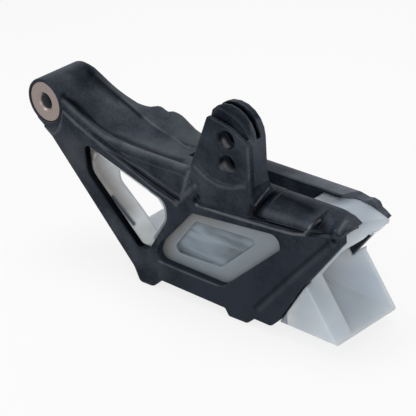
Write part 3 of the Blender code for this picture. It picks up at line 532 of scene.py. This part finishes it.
def milkyMaterial():
    # pale end with painted shade towards the housing and a lip painted darker, a deeper front, a tongue
    # painted dark, the glassy panel over them, then brown tints, a painted shadow streak and a painted glow
    # behind the front window
    n = insert
    made, tree, shader, spot = nodesOf("milkyPlastic")
    edge = useGroup(tree, edgeGroup, radius=n["edgeRadius"])
    flow = noise(tree, spot, **n["flow"])
    split = tree.nodes.new("ShaderNodeSeparateXYZ")
    tree.links.new(spot, split.inputs["Vector"])
    depth = sum1(tree, "MULTIPLY", split.outputs["Y"], perMetre)
    swirl = noise(tree, spot, **n["swirl"])
    ending = blend(tree, spread(tree, flow, *n["endSpan"]), n["end"], n["endCloud"])
    ending = blend(tree, stripes(tree, spot, *n["shadeLine"]), ending, n["shade"])
    # painted shade: the lip painted darker than the end under the top lamp
    ending = blend(tree, patch(tree, spot, *n["lipBox"]), ending, n["lip"])
    deep = blend(tree, spread(tree, flow, *n["deepSpan"]), n["deep"], n["deepCloud"])
    glass = blend(tree, spread(tree, swirl, *n["panelSpan"]), n["panel"], n["panelCloud"])
    window = patch(tree, spot, *n["panelBox"])
    inPanel = sum1(tree, "MULTIPLY", window, spread(tree, depth, *n["panelDepth"]))
    colour = blend(tree, patch(tree, spot, *n["frontBox"]), ending, deep)
    # the tongue in its slot painted dark: partly painted shade in the slot, partly stain
    tongue = stripes(tree, spot, *n["tongueLine"])
    tongue = sum1(tree, "MULTIPLY", tongue, spread(tree, flow, *n["tongueSpan"]))
    colour = blend(tree, tongue, colour, n["tongue"])
    rim = blend(tree, spread(tree, flow, *n["rimSpan"]), n["rim"], n["panelCloud"])
    colour = blend(tree, window, colour, blend(tree, inPanel, rim, glass))
    # browner patches along a line in the panel and one in the front window
    brownTint = stripes(tree, spot, *n["panelTint"])
    brownTint = sum1(tree, "MAXIMUM", brownTint, stripes(tree, spot, *n["windowTint"]))
    colour = blend(tree, sum1(tree, "MULTIPLY", brownTint, n["tintShare"]), colour, n["brownTint"])
    # painted shadow: a dark streak along the insert's near edge beside the housing's wall
    shadowStreak = sum1(tree, "MULTIPLY", stripes(tree, spot, *n["streakLine"]), n["streakGain"])
    shadowStreak = sum1(tree, "MINIMUM", sum1(tree, "MAXIMUM", shadowStreak, 0.0), 1.0)
    colour = blend(tree, shadowStreak, colour, n["shadowStreak"])
    rough = spread(tree, flow, *n["roughSpan"])
    # painted glow: the insert behind the front window emits light, standing in for light through the far
    # wall
    lit = sum1(tree, "MULTIPLY", patch(tree, spot, *n["litBox"]), sum1(tree, "SUBTRACT", 1.0, shadowStreak))
    glow = blend(tree, lit, n["unlit"], n["through"])
    normal = bumpOf(tree, sum1(tree, "MULTIPLY", swirl, inPanel), *n["swirlBump"], edge["Normal"])
    normal = bumpOf(tree, noise(tree, spot, **n["wave"]), *n["waveBump"], normal)
    fill(tree, shader, {
        "Base Color": colour, "Roughness": rough, "Specular IOR Level": n["specular"],
        "Emission Color": glow, "Normal": normal, **n["milky"]})
    return made


def cornerWeb():
    # closes the window's upper front corner: a rounded corner outline carried back from near to far
    outline = np.asarray(insert["webOutline"], float)
    count = len(outline)
    rings = [np.column_stack([outline[:, 0], np.full(count, y), outline[:, 1]]) for y in insert["webDepth"]]
    i = np.arange(count)
    sides = np.stack([i, (i + 1) % count, (i + 1) % count + count, i + count], axis=-1)
    web = meshFrom("cornerWeb", toRow(np.vstack(rings)), sides)
    work = bmesh.new()
    work.from_mesh(web.data)
    bmesh.ops.holes_fill(work, edges=[e for e in work.edges if e.is_boundary], sides=0)
    bmesh.ops.recalc_face_normals(work, faces=work.faces)
    work.to_mesh(web.data)
    work.free()
    return web


def makeInsert():
    body = copyOf("wear_insert", "wearInsert")
    with bpy.context.temp_override(active_object=body, selected_editable_objects=[body, cornerWeb()]):
        bpy.ops.object.join()
    soften(body, insert["softEdge"])
    place(body, "wear_insert", milkyMaterial())


# Rail millimetres; the spans on the distance from the bushing's line and the bump are in metres.
bushing = {
    "x": -86.7, "z": 90.5, "face": 2.0, "flange": 11.5, "flangeBack": 4.4, "sleeve": 7.2, "end": 33.5,
    "bore": 4.25, "chamfer": 1.3, "edge": 0.35, "edgeTurn": 0.3, "softEdge": 0.12, "sharpAngle": 25,
    "faceTone": (0.33, 0.275, 0.255),
    "ringTone": (0.25, 0.20, 0.185),
    "boreShade": (0.085, 0.090, 0.100),
    "boreSpan": (0.0043, 0.0047, 1.0, 0.0),
    "marks": {"Scale": 2600, "Detail": 4},
    "toneSpan": (0.3, 0.7),
    "roughSpan": (0.3, 0.7, 0.22, 0.34),
    "markBump": (0.25, 0.00006),
}


def steelMaterial():
    # fine turning marks: noise along the distance from the bushing's own line; the bore painted dark and
    # not metallic, as painted shade in the hole
    b = bushing
    made, tree, shader, spot = nodesOf("turnedSteel")
    centre = toRow([[b["x"], 0, b["z"]]])[0]
    away = sum3(tree, "MULTIPLY", sum3(tree, "SUBTRACT", spot, tuple(centre)), (1.0, 0.0, 1.0))
    rings = tree.nodes.new("ShaderNodeTexNoise")
    rings.noise_dimensions = "1D"
    fill(tree, rings, b["marks"])
    radius = sum3(tree, "LENGTH", away, None, "Value")
    tree.links.new(radius, rings.inputs["W"])
    marks = rings.outputs["Fac"]
    # painted shade: the bore is dark and not metallic
    bore = spread(tree, radius, *b["boreSpan"])
    face = blend(tree, spread(tree, marks, *b["toneSpan"]), b["ringTone"], b["faceTone"])
    fill(tree, shader, {
        "Base Color": blend(tree, bore, face, b["boreShade"]),
        "Metallic": sum1(tree, "SUBTRACT", 1.0, bore),
        "Roughness": spread(tree, marks, *b["roughSpan"]),
        "Normal": bumpOf(tree, marks, *b["markBump"])})
    return made


def makeBushing():
    # a flanged sleeve: rounded flange, plain back, chamfers at both ends of the bore
    b = bushing
    e, wide = b["edge"], b["bore"] + b["chamfer"]
    turn = b["edgeTurn"] * e
    profile = [(wide, b["face"]), (b["flange"] - e, b["face"]), (b["flange"] - turn, b["face"] + turn),
               (b["flange"], b["face"] + e), (b["flange"], b["flangeBack"]), (b["sleeve"], b["flangeBack"]),
               (b["sleeve"], b["end"] - e), (b["sleeve"] - e, b["end"]), (wide, b["end"]),
               (b["bore"], b["end"] - b["chamfer"]), (b["bore"], b["face"] + b["chamfer"])]
    ring = turnedRing("turnedBushing", (b["x"], b["z"]), profile)
    soften(ring, b["softEdge"], b["sharpAngle"])
    place(ring, "front_bushing", steelMaterial())


makeHousing()
print("housing ready")
makeInsert()
print("insert ready")
makeBushing()
print("bushing ready")

# Metres and watts; a lamp is its place, what it looks at, its size and its power.
studio = {
    "floorTone": (0.86, 0.86, 0.86), "floorHalf": 3.0, "floorDrop": 0.0002, "glow": 0.80,
    "worldTone": (0.40, 0.40, 0.40), "worldSeen": (1.0, 1.0, 1.0),
    "lamps": {
        "topLight": ((-0.05, 0.05, 0.80), (0, 0, 0.05), (0.55, 0.45), 3.0),
        "sideLight": ((-0.55, -0.65, 0.60), (0, 0, 0.05), (0.6, 0.6), 1.6),
        "backLight": ((-0.50, 0.60, 0.45), (0, 0, 0.06), (0.5, 0.35), 0.5),
        "rightLight": ((0.65, -0.55, 0.40), (0, 0, 0.05), (0.5, 0.5), 2.3),
    },
}


def seenDirectly(tree):
    # 1 where a camera, mirror or glass ray looks, else 0
    path = tree.nodes.new("ShaderNodeLightPath")
    total = path.outputs["Is Camera Ray"]
    for name in ("Is Glossy Ray", "Is Transmission Ray"):
        total = sum1(tree, "MAXIMUM", total, path.outputs[name])
    return total


def makeFloor():
    # matte, with a plain glow where it is looked at, so that it stays pale and keeps the shadow
    size = studio["floorHalf"]
    corners = np.array([(-size, -size, 0), (size, -size, 0), (size, size, 0), (-size, size, 0)])
    floor = meshFrom("floor", corners - [0, 0, studio["floorDrop"]], np.array([[0, 1, 2, 3]]))
    made = bpy.data.materials.new("paleFloor")
    made.use_nodes = True
    tree = made.node_tree
    tree.nodes.clear()
    matte = tree.nodes.new("ShaderNodeBsdfDiffuse")
    matte.inputs["Color"].default_value = (*studio["floorTone"], 1)
    glow = tree.nodes.new("ShaderNodeEmission")
    both = tree.nodes.new("ShaderNodeMixShader")
    feed(tree, both.inputs["Fac"], sum1(tree, "MULTIPLY", seenDirectly(tree), studio["glow"]))
    tree.links.new(matte.outputs[0], both.inputs[1])
    tree.links.new(glow.outputs[0], both.inputs[2])
    out = tree.nodes.new("ShaderNodeOutputMaterial")
    tree.links.new(both.outputs[0], out.inputs["Surface"])
    floor.data.materials.append(made)


def makeWorld():
    # an even grey on the part, and white where it is looked at
    world = bpy.data.worlds.new("studio")
    bpy.context.scene.world = world
    world.use_nodes = True
    tree = world.node_tree
    colour = blend(tree, seenDirectly(tree), studio["worldTone"], studio["worldSeen"])
    tree.links.new(colour, tree.nodes["Background"].inputs["Color"])


def softbox(name, spot, aim, size, power):
    # a rectangular lamp that faces its aim
    data = bpy.data.lights.new(name, "AREA")
    data.shape = "RECTANGLE"
    data.size, data.size_y = size
    data.energy = power
    lamp = bpy.data.objects.new(name, data)
    lamp.location = spot
    lamp.rotation_euler = (Vector(aim) - Vector(spot)).to_track_quat("-Z", "Y").to_euler()
    bpy.context.scene.collection.objects.link(lamp)


# A long lens on the lug's side, a little above: degrees, rail millimetres, and the clip in metres.
view = {"azimuth": 43.60, "down": 28.49, "roll": 3.61, "place": (466.0, -455.0, 404.7),
        "focalPixels": 1421, "width": 416, "sensor": 36, "clipStart": 0.02}


def makeCamera():
    # looks back along the azimuth and down, then turns by the roll, all from the rail frame
    a, e, r = (math.radians(view[k]) for k in ("azimuth", "down", "roll"))
    forward = Vector((-math.sin(a) * math.cos(e), math.cos(a) * math.cos(e), -math.sin(e)))
    right = Vector((math.cos(a), math.sin(a), 0))
    up = right.cross(forward)
    lean = Matrix.Rotation(stance["lean"], 3, "Y")
    x = lean @ (right * math.cos(r) - up * math.sin(r))
    y = lean @ (up * math.cos(r) + right * math.sin(r))
    z = lean @ -forward
    data = bpy.data.cameras.new("camera")
    data.sensor_width = view["sensor"]
    data.lens = view["focalPixels"] * view["sensor"] / view["width"]
    data.clip_start = view["clipStart"]
    cam = bpy.data.objects.new("camera", data)
    spot = toRow(view["place"])[0]
    rows = [(x[i], y[i], z[i], spot[i]) for i in range(3)]
    cam.matrix_world = Matrix((*rows, (0, 0, 0, 1)))
    bpy.context.scene.collection.objects.link(cam)
    bpy.context.scene.camera = cam


makeFloor()
makeWorld()
for name, values in studio["lamps"].items():
    softbox(name, *values)
makeCamera()
bpy.context.scene.view_settings.view_transform = "Standard"
print("stage ready")
